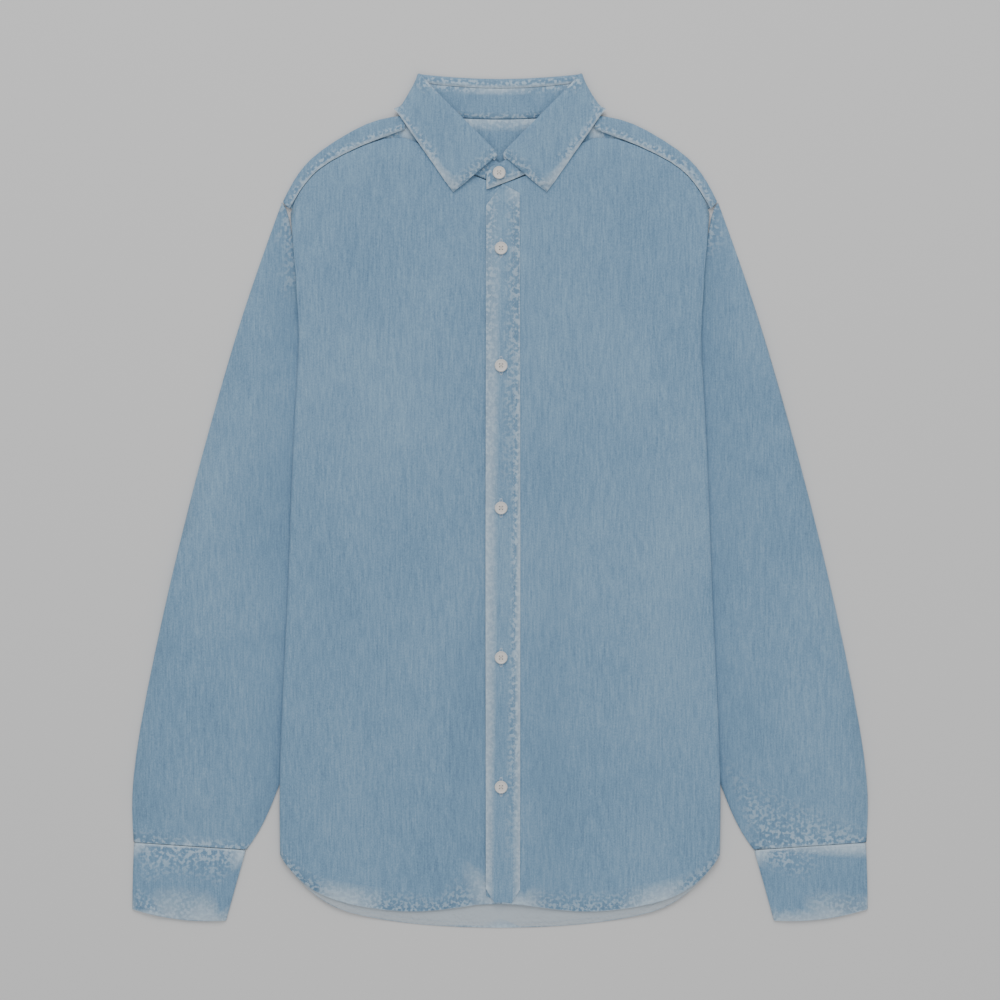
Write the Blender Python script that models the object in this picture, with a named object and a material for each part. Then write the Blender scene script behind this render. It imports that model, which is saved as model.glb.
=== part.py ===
"""Denim shirt laid flat on its back, buttoned, with its sides and sleeves tucked under.

Metres, +Z up, +Y towards the collar, +X towards the wearer's left. The cloth lies on z = 0.
Every piece of cloth is a grid of points on its middle surface, each with a normal, thickened both ways.
"""
import bpy
import bmesh
from math import sin, cos, pi
from mathutils import Vector

# cloth
WALL = 0.0012
GAP = 0.0003
LAYER = WALL + GAP
FRONT_EASE = 0.0012
COLLAR_WALL = 0.0016
CUFF_WALL = 0.0016

# body
ARMPIT_X = 0.095
ARMPIT_Y = 0.058
SEAM_TOP_Y = 0.222
YOKE_SEAM_Y = 0.2567
HEM_SEAM_X = 0.132
HEM_SEAM_Y = -0.283
STRAIGHT_TOP_Y = 0.040
STRAIGHT_BOTTOM_Y = -0.270
STRAIGHT_ROWS = 10
CHEST_TOP_Y = 0.2500
CHEST_ROWS = 6
TOP_ROWS = 2
FLAP_STEPS = 3
FOLD_R = 1.5 * LAYER
FOLD_EASE = 0.0003
BACK_TUCK = 0.0015
FRONT_SHORT = 0.034
SHOULDER_R = (LAYER + FRONT_EASE) / 2
FLAT_STEPS = (0, 1, 2, 3, 3.25, 3.5, 3.75)

# button line
LAP_UNDER_X = 0.0175
PLACKET_LEFT_X = -0.0133
PLACKET_RIGHT_X = 0.0187
LAP_FLAT_X = 0.0245
LAP_FALL = 0.024
BUTTON_X = 0.001
BUTTON_R = 0.0059
BUTTON_T = 0.0025
BUTTON_HOLE_R = 0.0007
BUTTON_HOLE_X = 0.0013
BUTTON_YS = (0.2318, 0.1242, -0.0064, -0.1435, -0.2622)

# collar
LEAF_RISE = 0.0023
LEAF_DROP = 0.0019
NECK_LIFT = COLLAR_WALL + GAP

# colours
DENIM = (0.255, 0.42, 0.60, 1.0)
SHELL_WHITE = (0.80, 0.78, 0.75, 1.0)


def table(columns, *rows):
    names = columns.split()
    return [dict(zip(names, row)) for row in rows]


# half width of the body from its tucked fold, and above it the armhole seam
SIDE = table(
    "y       x",
    (-0.330, 0.202),
    (-0.257, 0.2024),
    (-0.183, 0.1996),
    (-0.091, 0.195),
    (0.001, 0.1918),
    (0.0745, 0.1886),
    (0.126, 0.1854),
    (0.168, 0.184),
    (0.222, 0.1835),
    (0.2677, 0.1932),
)
# the part of the armhole seam that is folded under, from the armpit up
ARMHOLE = table(
    "t    x       y",
    (0.0, 0.095, 0.058),
    (0.33, 0.140, 0.095),
    (0.66, 0.170, 0.150),
    (1.0, 0.1800, 0.220),
)
FRONT_HEM = table(
    "x      y",
    (0.000, -0.3670),
    (0.0184, -0.3703),
    (0.0414, -0.3744),
    (0.0722, -0.3786),
    (0.0975, -0.3774),
    (0.1251, -0.3726),
    (0.1503, -0.3660),
    (0.1730, -0.3574),
    (0.1914, -0.3438),
    (0.2022, -0.3257),
)
BACK_HEM = table(
    "x      y",
    (0.000, -0.3928),
    (0.055, -0.3913),
    (0.092, -0.3873),
    (0.1306, -0.3803),
    (0.1628, -0.3670),
    (0.1895, -0.3478),
    (0.2022, -0.3290),
)
# front neck seam, then the front yoke seam out to the armhole
FRONT_TOP = table(
    "x        y",
    (-0.0175, 0.2834),
    (-0.0133, 0.2850),
    (0.0187, 0.2968),
    (0.0245, 0.2990),
    (0.0500, 0.3125),
    (0.0868, 0.3405),
    (0.1265, 0.3265),
    (0.1592, 0.3105),
    (0.1730, 0.2985),
    (0.1835, 0.2850),
    (0.1932, 0.2672),
)
# stations of the yoke from the armhole in to the neck: front seam, shoulder fold, back seam
YOKE_SHOULDER = table(
    "seam_x  seam_y  fold_x  fold_y  back_x",
    (0.1935, 0.2680, 0.1998, 0.2752, 0.1868),
    (0.1838, 0.2856, 0.1908, 0.2935, 0.1700),
    (0.1733, 0.2991, 0.1808, 0.3078, 0.1500),
    (0.1595, 0.3111, 0.1670, 0.3215, 0.1300),
    (0.1267, 0.3271, 0.1335, 0.3425, 0.1080),
    (0.1060, 0.3343, 0.1110, 0.3515, 0.0920),
    (0.0871, 0.3411, 0.0874, 0.3545, 0.0800),
)
YOKE_NECK = table(
    "neck_x  neck_y  back_x",
    (0.0700, 0.3540, 0.064),
    (0.0450, 0.3518, 0.042),
    (0.0220, 0.3507, 0.021),
    (0.0000, 0.3502, 0.000),
)
# upper edge of the sleeve, from the shoulder to the cuff, and its inner edge from the armpit
SLEEVE_OUTER = table(
    "t      x       y",
    (0.00, 0.2003, 0.2752),
    (0.06, 0.2180, 0.2265),
    (0.15, 0.2387, 0.1665),
    (0.27, 0.2599, 0.0929),
    (0.40, 0.2801, 0.0193),
    (0.52, 0.2985, -0.0543),
    (0.64, 0.3151, -0.1279),
    (0.76, 0.3303, -0.2015),
    (0.87, 0.3376, -0.2567),
    (0.94, 0.3386, -0.2850),
    (1.00, 0.3370, -0.3137),
)
SLEEVE_INNER = table(
    "t      x       y",
    (0.00, 0.0950, 0.0580),
    (0.15, 0.1150, -0.0050),
    (0.40, 0.1440, -0.0950),
    (0.64, 0.1750, -0.1800),
    (0.80, 0.2010, -0.2560),
    (0.90, 0.2144, -0.2926),
    (0.96, 0.2254, -0.3110),
    (1.00, 0.2330, -0.3205),
)
# armhole end of the sleeve, across its width
SLEEVE_HEAD = table(
    "w     x       y",
    (0.00, 0.2006, 0.2752),
    (0.06, 0.1948, 0.2668),
    (0.25, 0.1882, 0.2222),
    (0.50, 0.1720, 0.1500),
    (0.75, 0.1420, 0.0950),
    (1.00, 0.0950, 0.0580),
)
CUFF = table(
    "t    outer_x  outer_y   inner_x  inner_y   bow",
    (0.0, 0.3366, -0.3141, 0.2334, -0.3211, 0.0000),
    (0.5, 0.3376, -0.3445, 0.2430, -0.3535, 0.0010),
    (1.0, 0.3382, -0.3755, 0.2517, -0.3860, 0.0040),
)
# the collar from the button line to the back, right half; n neck seam, s top of the band,
# t fold of the leaf, d edge of the leaf
COLLAR_FRONT = table(
    "nx      ny      nz      sx      sy      sz      tx      ty      dx      dy      dz",
    (0.0190, 0.2976, 0.0023, 0.0050, 0.3115, 0.0043, 0.0017, 0.3177, 0.0430, 0.2828, 0.0048),
    (0.0495, 0.3133, 0.0024, 0.0240, 0.3300, 0.0060, 0.0190, 0.3350, 0.0580, 0.3045, 0.0048),
    (0.0665, 0.3258, 0.0036, 0.0440, 0.3500, 0.0066, 0.0390, 0.3550, 0.0730, 0.3260, 0.0056),
    (0.0845, 0.3440, 0.0047, 0.0610, 0.3670, 0.0066, 0.0560, 0.3720, 0.0865, 0.3452, 0.0064),
    (0.0862, 0.3540, 0.0047, 0.0720, 0.3785, 0.0062, 0.0680, 0.3845, 0.0935, 0.3554, 0.0068),
)
COLLAR_BACK = table(
    "nx      ny      nz      sx      sy      sz      tx      ty      dx      dy",
    (0.0830, 0.3566, 0.0027, 0.0690, 0.3836, 0.0029, 0.0690, 0.3910, 0.0880, 0.3530),
    (0.0450, 0.3524, 0.0027, 0.0440, 0.3805, 0.0028, 0.0440, 0.3885, 0.0480, 0.3450),
    (0.0000, 0.3508, 0.0027, 0.0000, 0.3780, 0.0027, 0.0000, 0.3864, 0.0000, 0.3434),
)
COLLAR_SIDE = {"nx": 0.0878, "ny": 0.3582, "sx": 0.0745, "sy": 0.3842,
               "tx": 0.0735, "ty": 0.3920, "dx": 0.0972, "dy": 0.3602}
# the band's lapped end, past the button line
BAND_END = table(
    "nx       ny      sx       sy",
    (-0.0126, 0.2858, -0.0124, 0.3010),
    (-0.0085, 0.2873, -0.0095, 0.3063),
    (0.0010, 0.2908, -0.0030, 0.3092),
)


def smooth(value):
    value = min(max(value, 0.0), 1.0)
    return value * value * (3.0 - 2.0 * value)


def mix(a, b, share):
    return a + (b - a) * share


def read(rows, key, at, want):
    """Column `want` where column `key` is `at`, on straight lines between the rows."""
    rows = sorted(rows, key=lambda row: row[key])
    at = min(max(at, rows[0][key]), rows[-1][key])
    for low, high in zip(rows, rows[1:]):
        if at <= high[key]:
            return mix(low[want], high[want], (at - low[key]) / (high[key] - low[key]))
    return rows[-1][want]


# heights of the layers ---------------------------------------------------------------------

def sleeve_limit(y):
    """Inner limit of the sleeve that lies under the body at this height."""
    if y > ARMPIT_Y:
        return read(ARMHOLE, "y", y, "x")
    return read(SLEEVE_INNER, "y", y, "x")


def tuck_fade(y):
    return 1.0 - smooth((y - SEAM_TOP_Y) / 0.040)


def sleeve_lift(x, y):
    inside = 1.0 - smooth((sleeve_limit(y) - 0.018 - abs(x)) / 0.060)
    low_end = smooth((y + 0.330) / 0.050)
    return 2.0 * LAYER * inside * low_end * tuck_fade(y)


def flap_limit(y):
    if y > ARMPIT_Y:
        return read(ARMHOLE, "y", y, "x")
    return mix(ARMPIT_X, HEM_SEAM_X, (ARMPIT_Y - y) / (ARMPIT_Y - HEM_SEAM_Y))


def flap_lift(x, y):
    inside = 1.0 - smooth((flap_limit(y) - 0.006 - abs(x)) / 0.035)
    return 2.0 * LAYER * inside * tuck_fade(y)


def neck_lift(x, y):
    return NECK_LIFT * smooth((y - 0.308) / 0.028) * (1.0 - smooth((abs(x) - 0.104) / 0.030))


def back_level(x, y):
    return sleeve_lift(x, y) + flap_lift(x, y) + neck_lift(x, y) + WALL / 2


# making solids -----------------------------------------------------------------------------

def material(name, colour, roughness):
    made = bpy.data.materials.new(name)
    made.use_nodes = True
    shader = made.node_tree.nodes["Principled BSDF"]
    shader.inputs["Base Color"].default_value = colour
    shader.inputs["Roughness"].default_value = roughness
    shader.inputs["Metallic"].default_value = 0.0
    return made


def finish(bm, name, colour, roughness):
    bmesh.ops.recalc_face_normals(bm, faces=bm.faces)
    mesh = bpy.data.meshes.new(name)
    bm.to_mesh(mesh)
    bm.free()
    obj = bpy.data.objects.new(name, mesh)
    bpy.context.collection.objects.link(obj)
    mesh.materials.append(material(name, colour, roughness))
    return obj


def cloth(name, grid, wall=WALL, ring=False):
    """Thickened sheet. grid[i][j] is (point, normal), or None where the sheet is cut away."""
    bm = bmesh.new()
    rows = len(grid)
    cols = len(grid[0])
    over = {}
    under = {}
    for i in range(rows):
        for j in range(cols):
            if grid[i][j]:
                point, normal = grid[i][j]
                over[i, j] = bm.verts.new(point + normal * wall / 2)
                under[i, j] = bm.verts.new(point - normal * wall / 2)
    edge_use = {}
    for i in range(rows - 1):
        for j in range(cols if ring else cols - 1):
            k = (j + 1) % cols
            cell = [(i, j), (i, k), (i + 1, k), (i + 1, j)]
            if all(corner in over for corner in cell):
                a, b, c, d = cell
                outward = abs(over[b].co.x) >= abs(over[a].co.x)
                halves = ((a, b, c), (a, c, d)) if outward else ((a, b, d), (b, c, d))
                for half in halves:
                    bm.faces.new([over[corner] for corner in half])
                    bm.faces.new([under[corner] for corner in reversed(half)])
                for a, b in zip(cell, cell[1:] + cell[:1]):
                    if (b, a) in edge_use:
                        del edge_use[b, a]
                    else:
                        edge_use[a, b] = True
    for a, b in edge_use:
        bm.faces.new([over[b], over[a], under[a], under[b]])
    return finish(bm, name, DENIM, 0.85)


def mirrored(grid, side):
    flip = Vector((side, 1.0, 1.0))
    return [[(p * flip, n * flip) if (p is not None) else None for p, n in row] for row in grid]


UP = Vector((0, 0, 1))


# body --------------------------------------------------------------------------------------

def fold_x(y, layer=0):
    """Where the flat panel starts to turn under; above the fold it runs on to the armhole seam."""
    inset = mix(FOLD_R + WALL / 2, 0.0003, smooth((y - SEAM_TOP_Y) / 0.012))
    return read(SIDE, "y", y, "x") - inset - BACK_TUCK * layer


def column_heights(hem_y, top_y, tucked=False):
    """Heights of a column's rows. Layers share them, apart from the hem and what is above the armpit."""
    low = [mix(hem_y, STRAIGHT_BOTTOM_Y, s) for s in (0.0, 0.4, 0.75)]
    middle = [mix(STRAIGHT_BOTTOM_Y, STRAIGHT_TOP_Y, i / STRAIGHT_ROWS) for i in range(STRAIGHT_ROWS + 1)]
    if tucked:
        steps = CHEST_ROWS + TOP_ROWS
        return low + middle + [mix(STRAIGHT_TOP_Y, top_y, (i + 1) / steps) for i in range(steps)]
    chest = [mix(STRAIGHT_TOP_Y, CHEST_TOP_Y, (i + 1) / CHEST_ROWS) for i in range(CHEST_ROWS)]
    return low + middle + chest + [mix(CHEST_TOP_Y, top_y, (i + 1) / TOP_ROWS) for i in range(TOP_ROWS)]


def flap_column(step, layer):
    """Column of the tucked part; step 0 is the side seam, layer 0 the front, 1 the back."""
    share = step / FLAP_STEPS
    top = {want: read(ARMHOLE, "t", share, want) for want in "xy"}
    top["y"] -= share * (0.0 if layer else FRONT_SHORT)
    hem = mix(HEM_SEAM_Y, -0.325, smooth(share))
    column = []
    for y in column_heights(hem, top["y"], True):
        low_y = min(y, STRAIGHT_TOP_Y)
        x = mix(flap_limit(low_y), fold_x(low_y, layer), share)
        if y > STRAIGHT_TOP_Y:
            x = mix(x, top["x"] - BACK_TUCK * layer, (y - STRAIGHT_TOP_Y) / (top["y"] - STRAIGHT_TOP_Y))
        z = sleeve_lift(x, y) + WALL / 2 + LAYER * layer
        column.append((Vector((x, y, z)), -UP))
    return column


def bend_column(turn, layer):
    """Column on the fold itself, turned from pi (below) to 0 (above)."""
    radius = FOLD_R - LAYER * layer
    rise = (0.0 if layer else FRONT_EASE) * (1.0 - turn / pi)
    slack = 0.0 if layer else FOLD_EASE
    column = []
    top_y = SEAM_TOP_Y - 0.001 - (0.0 if layer else FRONT_SHORT)
    for y in column_heights(-0.3255, top_y, True):
        x = fold_x(y, layer)
        centre = Vector((x, y, sleeve_lift(x, y) + WALL / 2 + FOLD_R))
        out = Vector((sin(turn), 0, cos(turn)))
        column.append((centre + out * (radius + slack) + UP * rise, out))
    return column


def flat_x(step, y, layer=0):
    """Place of a column of the flat part: steps over the tucked part, then on to the centre."""
    low_y = min(y, STRAIGHT_TOP_Y)
    inner = flap_limit(low_y) * fold_x(y) / fold_x(low_y)
    if step <= FLAP_STEPS:
        return mix(fold_x(y, layer), inner, step / FLAP_STEPS)
    return mix(inner, 0.0, step - FLAP_STEPS)


def flat_column(step, layer, hem, top_x, top_y, lap):
    column = []
    for y in column_heights(read(hem, "x", flat_x(step, -0.33), "y"), top_y):
        x = flat_x(step, y, layer)
        if y > CHEST_TOP_Y:
            x = mix(flat_x(step, CHEST_TOP_Y), top_x, (y - CHEST_TOP_Y) / (top_y - CHEST_TOP_Y))
        level = back_level(x, y) + (0.0 if layer else FRONT_EASE + LAYER * (1.0 + lap_rise(x, lap)))
        if step == 0 and y > SEAM_TOP_Y + 0.002:
            level = WALL / 2 + (0.0 if layer else LAYER + FRONT_EASE)
        column.append((Vector((x, y, level)), UP))
    return column


def lap_rise(x, lap):
    """Share of a layer that the upper front rises by, over the edge of the lower one."""
    return lap * (1.0 - smooth((x - LAP_FLAT_X) / LAP_FALL))


def turned_columns(layer):
    columns = [flap_column(step, layer) for step in range(FLAP_STEPS + 1)]
    return columns + [bend_column(pi * turn, layer) for turn in (0.75, 0.5, 0.25)]


def swap(columns):
    return [list(row) for row in zip(*columns)]


def front(name, side, edge_x, lap):
    """A front panel; lap 1 rises over the other front near the button line."""
    columns = turned_columns(0)
    for step, row in zip(FLAT_STEPS, reversed(FRONT_TOP[-len(FLAT_STEPS):])):
        columns.append(flat_column(step, 0, FRONT_HEM, row["x"], row["y"], lap))
    for x in (LAP_FLAT_X, PLACKET_RIGHT_X, edge_x):
        heights = column_heights(read(FRONT_HEM, "x", abs(x), "y"), read(FRONT_TOP, "x", x, "y"))
        rise = FRONT_EASE + LAYER * (1.0 + lap_rise(x, lap))
        columns.append([(Vector((x, y, back_level(x, y) + rise)), UP) for y in heights])
    return cloth(name, mirrored(swap(columns), side))


def back():
    half = turned_columns(1)
    for step in FLAT_STEPS:
        top_y = YOKE_SEAM_Y - GAP
        half.append(flat_column(step, 1, BACK_HEM, flat_x(step, top_y), top_y, 0))
    centre = [flat_column(FLAP_STEPS + 1, 1, BACK_HEM, 0.0, YOKE_SEAM_Y - GAP, 0)]
    other = swap(mirrored(swap(half), -1))
    return cloth("back", swap(half + centre + other[::-1]))


# yoke --------------------------------------------------------------------------------------

def yoke():
    half = []
    for row in YOKE_SHOULDER:
        seam = Vector((row["seam_x"], row["seam_y"], 0))
        fold = Vector((row["fold_x"], row["fold_y"], 0))
        down = Vector((row["back_x"], YOKE_SEAM_Y, 0))
        out = (fold - seam).normalized()
        centre = fold - out * (SHOULDER_R + WALL / 2)
        base = neck_lift(centre.x, centre.y) + WALL / 2
        station = []
        for share in (0.0, 0.5, 1.0):
            at = seam.lerp(centre, share)
            station.append((at + UP * (mix(neck_lift(at.x, at.y) + WALL / 2, base, share) + 2 * SHOULDER_R), UP))
        for turn in (0.25, 0.5, 0.75):
            away = out * sin(pi * turn) + UP * cos(pi * turn)
            station.append((centre + UP * (base + SHOULDER_R) + away * SHOULDER_R, away))
        for share in (0.0, 0.25, 0.5, 1.0):
            at = centre.lerp(down, share)
            station.append((at + UP * (neck_lift(at.x, at.y) + WALL / 2), -UP))
        half.append(station)
    for row in YOKE_NECK:
        neck = Vector((row["neck_x"], row["neck_y"], 0))
        down = Vector((row["back_x"], YOKE_SEAM_Y, 0))
        station = [None] * 6
        for share in (0.0, 0.25, 0.5, 1.0):
            at = neck.lerp(down, share)
            station.append((at + UP * (neck_lift(at.x, at.y) + WALL / 2), -UP))
        half.append(station)
    flip = Vector((-1, 1, 1))
    other = [[(p[0] * flip, p[1] * flip) if p else None for p in station] for station in half[:-1]]
    return cloth("back_yoke", half + other[::-1])


# sleeves and cuffs -------------------------------------------------------------------------

def flat_ring(points, wall, slot):
    """Ring of a flattened tube: the points on top from the outer edge in, then back below."""
    radius = (wall + slot) / 2
    level = wall + slot / 2
    along_out = (points[0] - points[-1]).normalized()
    inset = radius + wall / 2
    top = [p.copy() for p in points]
    top[0] = top[0] - along_out * inset
    top[-1] = top[-1] + along_out * inset
    ring = [(p + UP * (level + radius), UP) for p in top]
    ring.append((top[-1] + UP * level - along_out * radius, -along_out))
    ring += [(p + UP * (level - radius), -UP) for p in reversed(top)]
    ring.append((top[0] + UP * level + along_out * radius, along_out))
    return ring


def sleeve(name, side):
    stations = (0.0, 0.04, 0.10, 0.18, 0.30, 0.42, 0.54, 0.66, 0.78, 0.87, 0.94, 1.0)
    rings = []
    for t in stations:
        outer = Vector((read(SLEEVE_OUTER, "t", t, "x"), read(SLEEVE_OUTER, "t", t, "y"), 0))
        inner = Vector((read(SLEEVE_INNER, "t", t, "x"), read(SLEEVE_INNER, "t", t, "y"), 0))
        points = []
        for row in SLEEVE_HEAD:
            head = Vector((row["x"], row["y"], 0)) - SLEEVE_START.lerp(SLEEVE_END, row["w"])
            points.append(outer.lerp(inner, row["w"]) + head * (1.0 - t) ** 4)
        rings.append(flat_ring(points, WALL, GAP))
    return cloth(name, mirrored(rings, side), WALL, ring=True)


SLEEVE_START = Vector((SLEEVE_HEAD[0]["x"], SLEEVE_HEAD[0]["y"], 0))
SLEEVE_END = Vector((SLEEVE_HEAD[-1]["x"], SLEEVE_HEAD[-1]["y"], 0))


def cuff(name, side):
    rings = []
    for row in CUFF:
        outer = Vector((row["outer_x"], row["outer_y"], 0))
        inner = Vector((row["inner_x"], row["inner_y"], 0))
        points = []
        for share in (0.0, 0.2, 0.4, 0.6, 0.8, 1.0):
            at = outer.lerp(inner, share)
            points.append(at - Vector((0, row["bow"] * sin(pi * share), 0)))
        rings.append(flat_ring(points, CUFF_WALL, GAP))
    return cloth(name, mirrored(rings, side), CUFF_WALL, ring=True)


# placket and collar ------------------------------------------------------------------------

def placket():
    columns = []
    for share in (0.0, 0.5, 1.0):
        x = mix(PLACKET_LEFT_X, PLACKET_RIGHT_X, share)
        rows = []
        for y in column_heights(read(FRONT_HEM, "x", abs(x), "y"), read(FRONT_TOP, "x", x, "y")):
            rows.append((Vector((x, y, back_level(x, y) + FRONT_EASE + 3 * LAYER)), UP))
        columns.append(rows)
    return cloth("placket", swap(columns))


def collar_stations():
    """Half of the collar, front to back: points n, s, t, d, and the way its outside faces."""
    stations = []
    for row in COLLAR_FRONT:
        row = dict(row, nz=row["nz"] + FRONT_EASE, sz=row["sz"] + FRONT_EASE, dz=row["dz"] + FRONT_EASE)
        stations.append({"face": UP, "rise": LEAF_RISE,
                         "n": Vector((row["nx"], row["ny"], row["nz"])),
                         "s": Vector((row["sx"], row["sy"], row["sz"])),
                         "t": Vector((row["tx"], row["ty"], row["sz"])),
                         "d": Vector((row["dx"], row["dy"], row["dz"]))})
    last = row
    first = COLLAR_BACK[0]
    for turn in (0.25, 0.5, 0.75):
        face = Vector((sin(pi * turn), 0, cos(pi * turn)))
        station = {"face": face, "rise": mix(LEAF_RISE, LEAF_DROP, turn)}
        for key in "nst":
            level = "nz" if key == "n" else "sz"
            radius = (last[level] - first[level]) / 2
            x = mix(last[key + "x"], first[key + "x"], turn)
            x = mix(x, COLLAR_SIDE[key + "x"], sin(pi * turn))
            y = mix(last[key + "y"], first[key + "y"], turn)
            y = mix(y, COLLAR_SIDE[key + "y"], sin(pi * turn))
            station[key] = Vector((x, y, (last[level] + first[level]) / 2 + radius * cos(pi * turn)))
        radius = (last["dz"] - COLLAR_WALL / 2) / 2
        x = mix(mix(last["dx"], first["dx"], turn), COLLAR_SIDE["dx"], sin(pi * turn))
        y = mix(mix(last["dy"], first["dy"], turn), COLLAR_SIDE["dy"], sin(pi * turn))
        station["d"] = Vector((x, y, COLLAR_WALL / 2 + radius + radius * cos(pi * turn)))
        stations.append(station)
    for row in COLLAR_BACK:
        stations.append({"face": -UP, "rise": LEAF_DROP,
                         "n": Vector((row["nx"], row["ny"], row["nz"])),
                         "s": Vector((row["sx"], row["sy"], row["sz"])),
                         "t": Vector((row["tx"], row["ty"], row["sz"])),
                         "d": Vector((row["dx"], row["dy"], COLLAR_WALL / 2))})
    return stations


def collar_stand():
    flip = Vector((-1, 1, 1))
    near = []
    far = []
    for index, station in enumerate(collar_stations()):
        lift = UP * (COLLAR_WALL + GAP) * (1.0, 0.35, 0, 0, 0, 0, 0, 0, 0, 0, 0)[index]
        middle = station["n"].lerp(station["s"], 0.5)
        face = station["face"]
        near.append([(station["n"] + lift, face), (middle + lift, face), (station["s"] + lift, face)])
        far.append([(station["n"] * flip, face * flip), (middle * flip, face * flip),
                    (station["s"] * flip, face * flip)])
    over_end = []
    for row in BAND_END:
        lift = COLLAR_WALL + GAP
        n = Vector((row["nx"], row["ny"], COLLAR_FRONT[0]["nz"] + FRONT_EASE + lift))
        s = Vector((row["sx"], row["sy"], COLLAR_FRONT[0]["sz"] + FRONT_EASE + lift))
        over_end.append([(n, UP), (n.lerp(s, 0.5), UP), (s, UP)])
    last = BAND_END[-1]
    n = Vector((-last["nx"], last["ny"], COLLAR_FRONT[0]["nz"] + FRONT_EASE))
    s = Vector((-last["sx"], last["sy"], COLLAR_FRONT[0]["sz"] + FRONT_EASE))
    under_end = [[(n, UP), (n.lerp(s, 0.5), UP), (s, UP)]]
    return cloth("collar_stand", over_end + near + far[-2::-1] + under_end, COLLAR_WALL)


def collar_leaf():
    flip = Vector((-1, 1, 1))
    half = []
    for index, station in enumerate(collar_stations()):
        face = station["face"]
        rise = station["rise"]
        lap = UP * (COLLAR_WALL + GAP) * (1.0, 0.35, 0, 0, 0, 0, 0, 0, 0, 0, 0)[index]
        back_in = (station["s"] - station["t"])
        reach = back_in.length
        back_in.normalize()
        start = station["t"] + back_in * (reach - GAP)
        turn_in = station["t"] + back_in * (rise / 2)
        apex = station["t"] + face * rise / 2
        points = [(start + lap, -face), (turn_in + lap, -face), (apex + lap, -back_in)]
        span = station["d"] - station["t"]
        for key in ("s", "n"):
            plan = (station[key] - station["t"]).length / max(span.length, 1e-6)
            plan = min(plan, 0.92)
            at = station["t"].lerp(station["d"], plan)
            level = station[key].dot(face) + rise
            at = at - face * at.dot(face) + face * level
            if key == "s":
                near = station["t"] + back_in * (rise / 2)
                points.append((near - face * near.dot(face) + face * level + lap, face))
            points.append((at + lap, face))
        points.append((station["d"] + lap * 0.0, face))
        half.append(points)
    other = [[(p * flip, n * flip) for p, n in station] for station in half]
    return cloth("collar_leaf", half + other[-2::-1], COLLAR_WALL)


# buttons -----------------------------------------------------------------------------------

def button(name, x, y, z, tilt=0.0):
    """Dished round button with four holes."""
    profile = ((0.0, 0.0), (0.72, 0.0), (1.0, 0.35), (1.0, 0.72), (0.90, 1.0), (0.72, 0.80), (0.0, 0.74))
    bm = bmesh.new()
    verts = [bm.verts.new((r * BUTTON_R, 0, h * BUTTON_T)) for r, h in profile]
    edges = [bm.edges.new(pair) for pair in zip(verts, verts[1:])]
    bmesh.ops.spin(bm, geom=verts + edges, cent=(0, 0, 0), axis=(0, 0, 1), angle=2 * pi, steps=20)
    bmesh.ops.remove_doubles(bm, verts=bm.verts, dist=1e-5)
    obj = finish(bm, name, SHELL_WHITE, 0.3)
    obj.location = (x, y, z)
    obj.rotation_euler = (tilt, 0, 0)
    obj.data.shade_smooth()
    for index in range(4):
        angle = pi / 4 + index * pi / 2
        bpy.ops.mesh.primitive_cylinder_add(vertices=8, radius=BUTTON_HOLE_R, depth=4 * BUTTON_T)
        cutter = bpy.context.object
        cutter.name = f"{name}_hole_{index}"
        cutter.parent = obj
        cutter.location = (BUTTON_HOLE_X * cos(angle) * 1.3, BUTTON_HOLE_X * sin(angle) * 1.3, 0)
        cutter.hide_render = True
        cutter.display_type = "WIRE"
        hole = obj.modifiers.new(f"hole_{index}", "BOOLEAN")
        hole.operation = "DIFFERENCE"
        hole.solver = "EXACT"
        hole.object = cutter
    return obj


def main():
    for obj in list(bpy.data.objects):
        bpy.data.objects.remove(obj, do_unlink=True)
    back()
    yoke()
    front("front_right", -1, -LAP_UNDER_X, 0)
    front("front_left", 1, PLACKET_LEFT_X, 1)
    placket()
    collar_stand()
    collar_leaf()
    for side, word in ((1, "left"), (-1, "right")):
        sleeve(f"sleeve_{word}", side)
        cuff(f"cuff_{word}", side)
    for index, y in enumerate(BUTTON_YS):
        z = back_level(BUTTON_X, y) + FRONT_EASE + 3 * LAYER + WALL / 2 + GAP
        button(f"button_{index + 1}", BUTTON_X, y, z)
    button("button_collar", -0.0008, 0.3008, 0.0087)


main()
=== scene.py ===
import bpy
import bmesh
import numpy as np
from math import sin, cos, pi, radians
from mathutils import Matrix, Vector
from mathutils.bvhtree import BVHTree


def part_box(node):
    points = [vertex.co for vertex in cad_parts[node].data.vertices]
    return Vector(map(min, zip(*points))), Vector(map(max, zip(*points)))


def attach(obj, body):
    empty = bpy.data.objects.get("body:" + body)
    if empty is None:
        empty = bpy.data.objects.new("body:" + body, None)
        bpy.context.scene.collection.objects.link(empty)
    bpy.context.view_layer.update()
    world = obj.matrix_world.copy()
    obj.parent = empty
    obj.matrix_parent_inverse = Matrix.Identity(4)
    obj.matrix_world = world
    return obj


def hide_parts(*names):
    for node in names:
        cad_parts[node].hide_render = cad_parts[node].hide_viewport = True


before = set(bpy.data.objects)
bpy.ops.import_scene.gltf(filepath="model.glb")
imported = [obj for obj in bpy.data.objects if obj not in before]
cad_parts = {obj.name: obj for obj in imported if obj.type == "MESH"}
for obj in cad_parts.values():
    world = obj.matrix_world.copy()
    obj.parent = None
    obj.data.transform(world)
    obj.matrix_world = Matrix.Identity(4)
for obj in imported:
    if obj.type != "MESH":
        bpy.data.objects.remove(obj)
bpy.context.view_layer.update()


# small helpers
def smooth(value):
    value = min(max(value, 0.0), 1.0)
    return value * value * (3.0 - 2.0 * value)


def alongLine(points, spacing):
    # points every spacing metres along a polyline, with the direction at each
    out = []
    carry = 0.0
    for a, b in zip(points, points[1:]):
        a, b = Vector(a), Vector(b)
        length = (b - a).length
        at = carry
        while at < length:
            out.append((a.lerp(b, at / length), (b - a).normalized()))
            at += spacing
        carry = at - length
    return out


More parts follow.
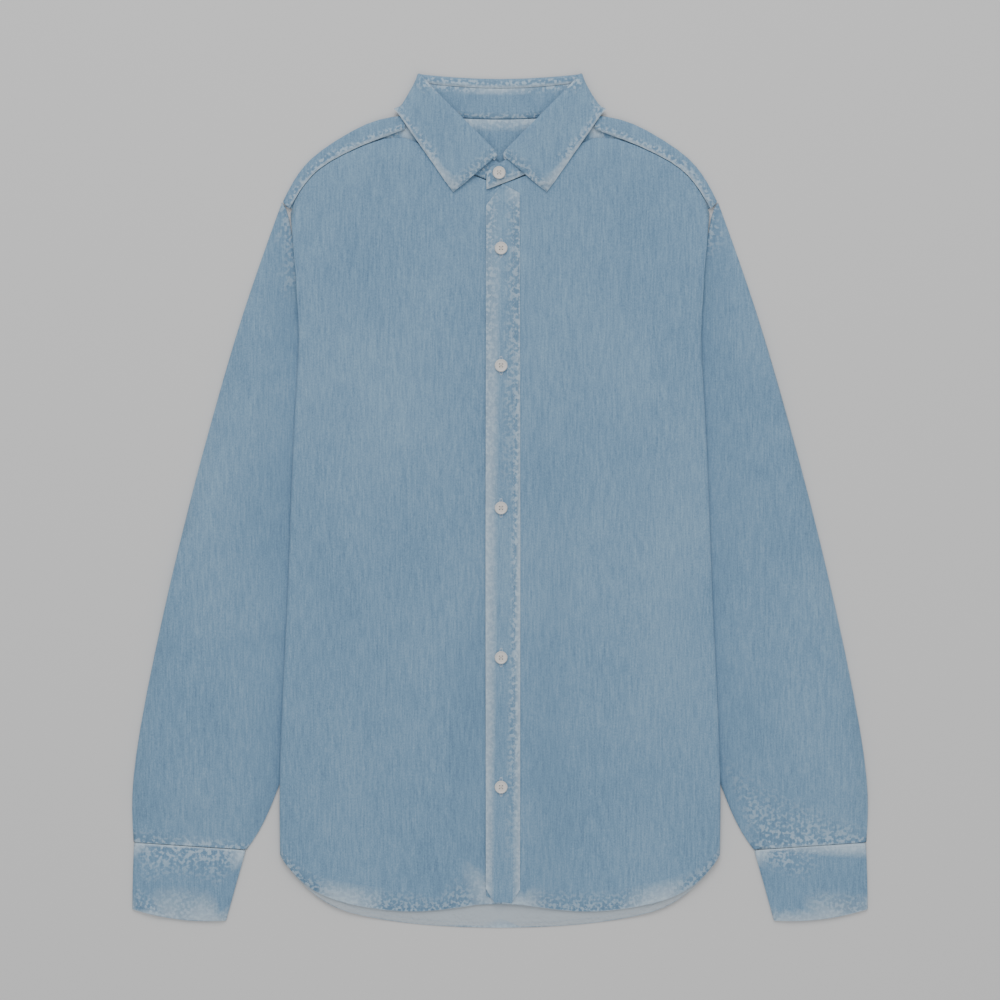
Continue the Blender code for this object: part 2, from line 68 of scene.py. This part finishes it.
def curved(points, steps=6):
    # smooth line through a few points (Catmull-Rom)
    pts = [Vector(p) for p in points]
    pts = [2 * pts[0] - pts[1]] + pts + [2 * pts[-1] - pts[-2]]
    out = []
    for a, b, c, d in zip(pts, pts[1:], pts[2:], pts[3:]):
        for i in range(steps):
            t = i / steps
            out.append(0.5 * (2 * b + (c - a) * t + (2 * a - 5 * b + 4 * c - d) * t * t
                              + (3 * b - a - 3 * c + d) * t ** 3))
    out.append(pts[-2])
    return out


def nearLine(points, line):
    # distance from each point to a polyline
    best = np.full(len(points), 1.0)
    for a, b in zip(line, line[1:]):
        start = np.array(a)
        span = np.array(b) - start
        t = np.clip((points - start) @ span / (span @ span), 0, 1)
        best = np.minimum(best, np.hypot(*(points - start - t[:, None] * span).T))
    return best


def mirror(line):
    return [Vector((-p[0], p[1])) for p in line]


# sewn lines in plan, right half, metres
seamLines = {
    "frontHem": curved([(-0.013, -0.3680), (0.018, -0.3700), (0.041, -0.3741), (0.072, -0.3782), (0.098, -0.3772),
                        (0.125, -0.3724), (0.150, -0.3658), (0.173, -0.3570), (0.191, -0.3436), (0.202, -0.3262)]),
    "backHem": curved([(-0.19, -0.3478), (-0.13, -0.3803), (-0.055, -0.3913), (0.0, -0.3928), (0.055, -0.3913),
                       (0.13, -0.3803), (0.19, -0.3478)]),
    "yoke": curved([(0.0868, 0.3405), (0.1265, 0.3265), (0.1592, 0.3105), (0.1730, 0.2985), (0.1835, 0.2850),
                    (0.1932, 0.2672)]),
    "armhole": curved([(0.1985, 0.2745), (0.1945, 0.2668), (0.1885, 0.2440), (0.1835, 0.2220)]),
    "leaf": [Vector(p) for p in ((0.0005, 0.3160), (0.0430, 0.2828), (0.0972, 0.3604))],
    "cuffTop": curved([(0.3366, -0.3150), (0.3000, -0.3166), (0.2650, -0.3190), (0.2334, -0.3216)]),
    "cuffEnd": curved([(0.3382, -0.3755), (0.3170, -0.3800), (0.2950, -0.3838), (0.2730, -0.3852), (0.2517, -0.3860)]),
    "neckBack": curved([(-0.084, 0.3560), (-0.045, 0.3520), (0.0, 0.3506), (0.045, 0.3520), (0.084, 0.3560)]),
    "bandTop": curved([(-0.068, 0.3838), (0.0, 0.3790), (0.068, 0.3838)]),
    "bandEnd": [Vector(p) for p in ((0.045, 0.3092), (0.019, 0.2976), (-0.0126, 0.2858), (-0.0124, 0.3010))],
}
for name in ("frontHem", "yoke", "armhole", "leaf", "cuffTop", "cuffEnd"):
    seamLines[name + "R"] = mirror(seamLines[name])
placket = {"left": -0.0133, "right": 0.0187, "top": 0.290, "foot": -0.367, "margin": 0.0052}
seamLines["placketLeft"] = [Vector((placket["left"], placket["foot"])), Vector((placket["left"], 0.285))]
seamLines["placketRight"] = [Vector((placket["right"], placket["foot"])), Vector((placket["right"], 0.296))]


# cloth finish
denimLook = {"deep": (0.118, 0.225, 0.365), "mid": (0.205, 0.355, 0.520), "pale": (0.330, 0.500, 0.660),
             "worn": (0.600, 0.735, 0.850), "inside": (0.520, 0.590, 0.650), "violet": (0.420, 0.500, 0.760)}


def denim(name, shift=0.0, tint=None):
    mat = bpy.data.materials.new(name)
    mat.use_nodes = True
    tree = mat.node_tree
    nodes = tree.nodes
    link = tree.links.new
    shader = nodes["Principled BSDF"]
    shader.inputs["Roughness"].default_value = 0.88
    shader.inputs["Sheen Weight"].default_value = 0.12
    shader.inputs["Sheen Roughness"].default_value = 0.5
    shader.inputs["Specular IOR Level"].default_value = 0.25
    coord = nodes.new("ShaderNodeTexCoord")

    def noise(scale, stretch, detail=2.0, rough=0.5):
        mapping = nodes.new("ShaderNodeMapping")
        mapping.inputs["Scale"].default_value = stretch
        link(coord.outputs["Object"], mapping.inputs["Vector"])
        tex = nodes.new("ShaderNodeTexNoise")
        tex.inputs["Scale"].default_value = scale
        tex.inputs["Detail"].default_value = detail
        tex.inputs["Roughness"].default_value = rough
        link(mapping.outputs["Vector"], tex.inputs["Vector"])
        return tex.outputs["Fac"]

    def maths(kind, a, b):
        node = nodes.new("ShaderNodeMath")
        node.operation = kind
        for socket, value in zip(node.inputs, (a, b)):
            if hasattr(value, "is_output"):
                link(value, socket)
            else:
                socket.default_value = value
        return node.outputs[0]

    def mixed(fac, a, b):
        node = nodes.new("ShaderNodeMix")
        node.data_type = "RGBA"
        for socket, value in ((node.inputs[0], fac), (node.inputs[6], a), (node.inputs[7], b)):
            if hasattr(value, "is_output"):
                link(value, socket)
            else:
                socket.default_value = (*value, 1.0) if isinstance(value, tuple) else value
        return node.outputs[2]

    def ranged(value, low, high):
        node = nodes.new("ShaderNodeMapRange")
        node.inputs["From Min"].default_value = low
        node.inputs["From Max"].default_value = high
        link(value, node.inputs["Value"])
        return node.outputs["Result"]

    def attribute(label):
        node = nodes.new("ShaderNodeAttribute")
        node.attribute_name = label
        return node.outputs["Fac"]

    slub = noise(1.0, (700, 55, 300), 3.0, 0.6)      # long warp slubs down the cloth
    fleck = noise(1.0, (900, 650, 600), 2.0, 0.7)    # salt and pepper of the twill
    cloudy = noise(9.0, (1, 0.7, 1), 3.0, 0.55)      # uneven wash
    tone = maths("ADD", maths("MULTIPLY", slub, 0.45), maths("MULTIPLY", fleck, 0.45))
    tone = maths("ADD", tone, maths("MULTIPLY", cloudy, 0.25))
    tone = maths("ADD", tone, shift - 0.075)
    ramp = nodes.new("ShaderNodeValToRGB")
    for spot, colour in ((0.30, "deep"), (0.50, "mid"), (0.72, "pale")):
        stop = ramp.color_ramp.elements[0] if spot == 0.30 else ramp.color_ramp.elements.new(spot)
        stop.position = spot
        stop.color = (*denimLook[colour], 1)
    ramp.color_ramp.elements.remove(ramp.color_ramp.elements[-1])
    link(tone, ramp.inputs["Fac"])
    colour = ramp.outputs["Color"]
    # roping: pale ridges and dark dips across the sewn margin
    rope = noise(1.0, (330, 330, 200), 1.0, 0.4)
    margin = attribute("margin")
    ridges = maths("MULTIPLY", ranged(rope, 0.50, 0.60), margin)
    dips = maths("MULTIPLY", ranged(rope, 0.50, 0.38), margin)
    colour = mixed(maths("MULTIPLY", ridges, 0.55), colour, denimLook["worn"])
    colour = mixed(maths("MULTIPLY", dips, 0.45), colour, denimLook["deep"])
    colour = mixed(maths("MULTIPLY", attribute("edge"), 0.85), colour, denimLook["worn"])
    # painted shade: the colour is darkened towards the deep tone where this mask is set
    colour = mixed(maths("MULTIPLY", attribute("shade"), 0.50), colour, denimLook["deep"])
    if tint:
        colour = mixed(attribute("inside"), colour, mixed(cloudy, denimLook["inside"], tint))
    link(colour, shader.inputs["Base Color"])
    wave = nodes.new("ShaderNodeTexWave")             # right-hand twill
    wave.inputs["Scale"].default_value = 330.0
    wave.inputs["Distortion"].default_value = 1.5
    turn = nodes.new("ShaderNodeMapping")
    turn.inputs["Rotation"].default_value = (0, 0, radians(32))
    link(coord.outputs["Object"], turn.inputs["Vector"])
    link(turn.outputs["Vector"], wave.inputs["Vector"])
    height = maths("ADD", maths("MULTIPLY", wave.outputs["Fac"], 0.35), maths("MULTIPLY", slub, 0.5))
    height = maths("ADD", height, maths("MULTIPLY", maths("MULTIPLY", rope, margin), 3.0))
    bump = nodes.new("ShaderNodeBump")
    bump.inputs["Strength"].default_value = 0.55
    bump.inputs["Distance"].default_value = 0.0006
    link(height, bump.inputs["Height"])
    link(bump.outputs["Normal"], shader.inputs["Normal"])
    return mat


def plain(name, colour, roughness, scale):
    mat = bpy.data.materials.new(name)
    mat.use_nodes = True
    nodes = mat.node_tree.nodes
    shader = nodes["Principled BSDF"]
    shader.inputs["Roughness"].default_value = roughness
    tex = nodes.new("ShaderNodeTexNoise")
    tex.inputs["Scale"].default_value = scale
    ramp = nodes.new("ShaderNodeValToRGB")
    ramp.color_ramp.elements[0].position = 0.35
    ramp.color_ramp.elements[0].color = (*[c * 0.82 for c in colour], 1)
    ramp.color_ramp.elements[1].position = 0.65
    ramp.color_ramp.elements[1].color = (*colour, 1)
    mat.node_tree.links.new(tex.outputs["Fac"], ramp.inputs["Fac"])
    mat.node_tree.links.new(ramp.outputs["Color"], shader.inputs["Base Color"])
    return mat


# soft folds, listed one by one: middle x, y, length, width, height, lean in degrees
folds = [
    (-0.030, -0.20, 0.30, 0.030, 0.0022, 3), (0.055, -0.22, 0.34, 0.036, 0.0026, -4),
    (0.112, -0.12, 0.26, 0.040, 0.0018, -7), (-0.110, -0.16, 0.30, 0.042, 0.0016, 5),
    (-0.070, 0.09, 0.20, 0.038, 0.0014, -6), (0.085, 0.13, 0.18, 0.034, 0.0015, 9),
    (-0.150, 0.02, 0.24, 0.030, 0.0017, -3), (0.150, 0.05, 0.22, 0.028, 0.0015, 5),
    (-0.262, -0.02, 0.30, 0.030, 0.0050, -15), (-0.292, -0.20, 0.20, 0.034, 0.0060, -11),
    (0.266, -0.04, 0.34, 0.032, 0.0052, 15), (0.300, -0.21, 0.18, 0.032, 0.0058, 10),
    (-0.230, 0.12, 0.16, 0.026, 0.0040, -19), (0.232, 0.13, 0.17, 0.024, 0.0042, 20),
    (-0.262, -0.285, 0.045, 0.016, 0.0030, 48), (0.275, -0.287, 0.050, 0.016, 0.0026, -40),
    (-0.292, -0.3345, 0.016, 0.080, 0.0007, 4), (0.292, -0.3355, 0.015, 0.076, 0.0006, -5),
]


def foldHeight(x, y):
    total = 0.0
    for fx, fy, length, width, height, lean in folds:
        c, s = cos(radians(lean)), sin(radians(lean))
        across = ((x - fx) * c + (y - fy) * s) / width
        down = (-(x - fx) * s + (y - fy) * c) / length * 2
        if abs(across) < 1 and abs(down) < 1:
            total += height * (1 - across * across) ** 2 * (1 - down * down) ** 2
    return total


def sleeveAir(x, y):
    # the sleeves hold a little air, most along their middle
    return 0.0045 * smooth((abs(x) - 0.205) / 0.05) * smooth((0.26 - y) / 0.06) * smooth((y + 0.312) / 0.05)


pieces = {}


def clothPiece(node, title, material, lines, levels=1, margin=0.0058):
    source = bpy.data.objects[node]
    bm = bmesh.new()
    bm.from_mesh(source.data)
    bmesh.ops.remove_doubles(bm, verts=bm.verts, dist=1e-6)
    bmesh.ops.join_triangles(bm, faces=bm.faces, angle_face_threshold=radians(40),
                             angle_shape_threshold=radians(75), topology_influence=1.0)
    crease = bm.edges.layers.float.new("crease_edge")
    corner = bm.verts.layers.float.new("crease_vert")
    rim = [e for e in bm.edges if len(e.link_faces) == 2 and e.calc_face_angle(0) > radians(62)]
    for edge in rim:
        edge[crease] = 0.85
    for vert in bm.verts:
        sharp = [edge for edge in vert.link_edges if edge[crease] > 0]
        if len(sharp) >= 3:
            vert[corner] = 0.9
    mesh = bpy.data.meshes.new(title)
    bm.to_mesh(mesh)
    bm.free()
    obj = bpy.data.objects.new(title, mesh)
    bpy.context.collection.objects.link(obj)
    sub = obj.modifiers.new("sub", "SUBSURF")
    sub.levels = levels
    sub.render_levels = levels
    baked = bpy.data.meshes.new_from_object(obj.evaluated_get(bpy.context.evaluated_depsgraph_get()))
    obj.modifiers.clear()
    obj.data = baked
    baked.name = title
    layers = {key: [] for key in ("margin", "edge", "shade", "inside")}
    plan = np.array([vert.co[:2] for vert in baked.vertices])
    gaps = np.min([nearLine(plan, line) for line in lines], axis=0)
    for vert in baked.vertices:
        x, y, z = vert.co
        lift = foldHeight(x, y) * smooth((z - 0.001) / 0.004)
        if node.startswith("sleeve"):
            lift += sleeveAir(x, y) * smooth((z - 0.0008) / 0.0015)
        away = float(gaps[vert.index])
        inBand = smooth((margin + 0.0012 - away) / 0.0012)
        # puckers of the sewn margin, as real ridges
        lift += 0.00022 * inBand * sin((x * 0.8 + y) * 1500) * smooth((z - 0.001) / 0.003)
        vert.co.z = z + lift
        layers["margin"].append(inBand)
        layers["edge"].append(smooth((0.0012 - away) / 0.0010))
        # painted shade mask: sleeves darker towards the body's side edge, fronts darker in bands either side of the
        # placket
        side = smooth((0.225 - abs(x) + 0.03 * (0.1 - y)) / 0.03)
        middle = smooth((0.02 - abs(x + 0.022)) / 0.02) + smooth((0.035 - abs(x - 0.045)) / 0.035)
        middle *= 0.45 * smooth((0.10 - y) / 0.35) if node.startswith("front") else 0.0
        layers["shade"].append(min(middle + (0.55 * side if node.startswith("sleeve") else 0), 1))
        layers["inside"].append(1.0 if node == "back" and vert.normal.z > 0.2 and y < -0.30 else 0.0)
    for key, values in layers.items():
        baked.attributes.new(key, "FLOAT", "POINT").data.foreach_set("value", values)
    baked.shade_smooth()
    baked.set_sharp_from_angle(angle=radians(50))
    baked.materials.clear()
    baked.materials.append(material)
    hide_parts(node)
    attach(obj, "root")
    pieces[node] = obj
    print("cloth", title, len(baked.polygons))
    return obj


lineSets = {
    "back": ["backHem"], "back_yoke": ["yoke", "yokeR", "neckBack"], "front_left": ["frontHem"],
    "front_right": ["frontHemR"], "placket": ["placketLeft", "placketRight"],
    "collar_stand": ["neckBack", "bandTop", "bandEnd"], "collar_leaf": ["leaf", "leafR", "bandTop"],
    "sleeve_left": ["armhole", "cuffTop"], "sleeve_right": ["armholeR", "cuffTopR"],
    "cuff_left": ["cuffTop", "cuffEnd"], "cuff_right": ["cuffTopR", "cuffEndR"],
}
titles = {"back": "backPanel", "back_yoke": "shoulderYoke", "front_left": "frontOver", "front_right": "frontUnder",
          "placket": "buttonholePlacket", "collar_stand": "collarBand", "collar_leaf": "collarLeaf",
          "sleeve_left": "sleeveL", "sleeve_right": "sleeveR", "cuff_left": "cuffL", "cuff_right": "cuffR"}
tones = {"back_yoke": 0.0, "placket": 0.01, "collar_leaf": 0.03, "cuff_left": -0.03, "cuff_right": -0.03,
         "collar_stand": -0.01}
for node, names in lineSets.items():
    look = denim("denim_" + titles[node], tones.get(node, 0.0), denimLook["inside"] if node == "back" else None)
    clothPiece(node, titles[node], look, [seamLines[n] for n in names])


# thread
threadLook = {"length": 0.0021, "pitch": 0.0029, "width": 0.00042, "colour": (0.50, 0.62, 0.76)}
threadMat = plain("thread", threadLook["colour"], 0.7, 900)


def offsetLine(line, away):
    out = []
    for i, p in enumerate(line):
        a = line[max(i - 1, 0)]
        b = line[min(i + 1, len(line) - 1)]
        d = (b - a).normalized()
        out.append(p + Vector((-d.y, d.x)) * away)
    return out


def stitches(title, node, lines):
    piece = pieces[node]
    tree = BVHTree.FromObject(piece, bpy.context.evaluated_depsgraph_get())
    bm = bmesh.new()
    for line in lines:
        for at, way in alongLine(line, threadLook["pitch"]):
            hit = tree.ray_cast(Vector((at.x, at.y, 0.1)), Vector((0, 0, -1)))
            if not hit[0]:
                continue
            ahead = Vector((way.x, way.y, 0)) * threadLook["length"] / 2
            across = Vector((-way.y, way.x, 0)) * threadLook["width"] / 2
            foot = hit[0] + Vector((0, 0, 0.00005))
            top = foot + Vector((0, 0, threadLook["width"] * 0.7))
            ends = [bm.verts.new(foot - ahead), bm.verts.new(foot + ahead)]
            ring = [bm.verts.new(p) for p in (foot + across * 1.1, top, foot - across * 1.1)]
            low = bm.verts.new(foot - Vector((0, 0, 0.0002)))
            loop = [ring[0], ring[1], ring[2], low]
            for a, b in zip(loop, loop[1:] + loop[:1]):
                bm.faces.new((ends[0], a, b))
                bm.faces.new((ends[1], b, a))
    bmesh.ops.recalc_face_normals(bm, faces=bm.faces)
    mesh = bpy.data.meshes.new(title)
    bm.to_mesh(mesh)
    bm.free()
    obj = bpy.data.objects.new(title, mesh)
    bpy.context.collection.objects.link(obj)
    mesh.materials.append(threadMat)
    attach(obj, "root")
    return obj


sewn = []
sewn.append(stitches("threadPlacket", "placket", [
    offsetLine(seamLines["placketLeft"], -0.0056), offsetLine(seamLines["placketRight"], 0.0062)]))
sewn.append(stitches("threadHemOver", "front_left", [offsetLine(seamLines["frontHem"][8:], 0.0052)]))
sewn.append(stitches("threadHemUnder", "front_right", [offsetLine(seamLines["frontHemR"][6:], -0.0052)]))
sewn.append(stitches("threadHemBack", "back", [offsetLine(seamLines["backHem"], 0.0050)]))
sewn.append(stitches("threadYoke", "back_yoke", [
    offsetLine(seamLines["yoke"], 0.0016), offsetLine(seamLines["yokeR"], -0.0016)]))
leafIn = [Vector((0.0060, 0.3195)), Vector((0.0418, 0.2905)), Vector((0.0925, 0.3605))]
sewn.append(stitches("threadLeaf", "collar_leaf", [leafIn, mirror(leafIn)]))
for side, node in (("", "cuff_left"), ("R", "cuff_right")):
    turn = 1 if side else -1
    sewn.append(stitches("thread" + node, node, [
        offsetLine(seamLines["cuffTop" + side], -0.0020 * turn), offsetLine(seamLines["cuffTop" + side], -0.0065 * turn),
        offsetLine(seamLines["cuffEnd" + side], 0.0045 * turn)]))
print("thread", len(sewn))

# buttons and their buttonholes
shell = plain("buttonShell", (0.83, 0.81, 0.78), 0.28, 260)
for node in [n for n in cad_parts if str(n).startswith("button")]:
    obj = bpy.data.objects[node]
    if obj.material_slots:
        obj.material_slots[0].material = shell
    else:
        obj.data.materials.append(shell)
holeLook = {"length": 0.0165, "width": 0.0026, "wire": 0.0006}
bm = bmesh.new()
cross = bmesh.new()
for node in [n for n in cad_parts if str(n).startswith("button")]:
    low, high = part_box(node)
    mid = (Vector(low) + Vector(high)) / 2
    ring = 36
    if node != "button_collar":
        tree = BVHTree.FromObject(pieces["placket"], bpy.context.evaluated_depsgraph_get())
        rows = []
        for i in range(ring):
            a = 2 * pi * i / ring
            x = mid.x + cos(a) * holeLook["width"] / 2
            y = mid.y + (holeLook["length"] / 2) * max(min(sin(a) * 1.25, 1), -1)
            hit = tree.ray_cast(Vector((x, y, 0.1)), Vector((0, 0, -1)))
            z = hit[0].z if hit[0] else low[2] - 0.0003
            rows.append([bm.verts.new((x + cos(a) * holeLook["wire"] * cos(b), y + sin(a) * holeLook["wire"] * cos(b),
                                       z + holeLook["wire"] * sin(b) * 0.8)) for b in (0, pi / 2, pi, 3 * pi / 2)])
        for i in range(ring):
            for j in range(4):
                bm.faces.new((rows[i][j], rows[(i + 1) % ring][j], rows[(i + 1) % ring][(j + 1) % 4], rows[i][(j + 1) % 4]))
    for sign in (1, -1):
        a = Vector((1, sign, 0)).normalized() * 0.0017
        side = Vector((-a.y, a.x, 0)).normalized() * 0.00035
        z = high[2] - 0.00045
        base = Vector((mid.x, mid.y, z))
        quad = [base - a - side, base + a - side, base + a + side, base - a + side]
        lowQuad = [cross.verts.new(p - Vector((0, 0, 0.0006))) for p in quad]
        topQuad = [cross.verts.new(p + Vector((0, 0, 0.0001))) for p in quad]
        cross.faces.new(topQuad)
        cross.faces.new(lowQuad[::-1])
        for i in range(4):
            k = (i + 1) % 4
            cross.faces.new((lowQuad[i], lowQuad[k], topQuad[k], topQuad[i]))
for title, made, mat in (("buttonholes", bm, threadMat), ("buttonThread", cross, shell)):
    bmesh.ops.recalc_face_normals(made, faces=made.faces)
    mesh = bpy.data.meshes.new(title)
    made.to_mesh(mesh)
    made.free()
    obj = bpy.data.objects.new(title, mesh)
    bpy.context.collection.objects.link(obj)
    mesh.materials.append(mat)
    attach(obj, "root")

# floor, light, camera
floorMesh = bpy.data.meshes.new("floor")
floorMesh.from_pydata([(-6, -6, -0.0002), (6, -6, -0.0002), (6, 6, -0.0002), (-6, 6, -0.0002)], [], [(0, 1, 2, 3)])
floor = bpy.data.objects.new("floor", floorMesh)
bpy.context.collection.objects.link(floor)
floorMesh.materials.append(plain("floorPaper", (0.86, 0.86, 0.86), 0.9, 0.3))
world = bpy.data.worlds.new("studio")
bpy.context.scene.world = world
world.use_nodes = True
world.node_tree.nodes["Background"].inputs[0].default_value = (1, 1, 1, 1)
world.node_tree.nodes["Background"].inputs[1].default_value = 0.55
for name, spot, size, power in (("keyLight", (-0.15, 2.0, 2.2), 1.8, 42), ("fillLight", (0.3, -1.6, 2.6), 2.5, 12)):
    light = bpy.data.lights.new(name, "AREA")
    light.size = size
    light.energy = power
    lamp = bpy.data.objects.new(name, light)
    bpy.context.collection.objects.link(lamp)
    lamp.location = spot
    lamp.rotation_euler = (-Vector(spot)).to_track_quat("-Z", "Y").to_euler()
view = {"lens": 85.0, "span": 0.92}
cameraData = bpy.data.cameras.new("camera")
cameraData.lens = view["lens"]
camera = bpy.data.objects.new("camera", cameraData)
bpy.context.collection.objects.link(camera)
camera.location = (0.0, 0.0009, view["span"] * view["lens"] / 36.0)
camera.rotation_euler = (0, 0, 0)
bpy.context.scene.camera = camera
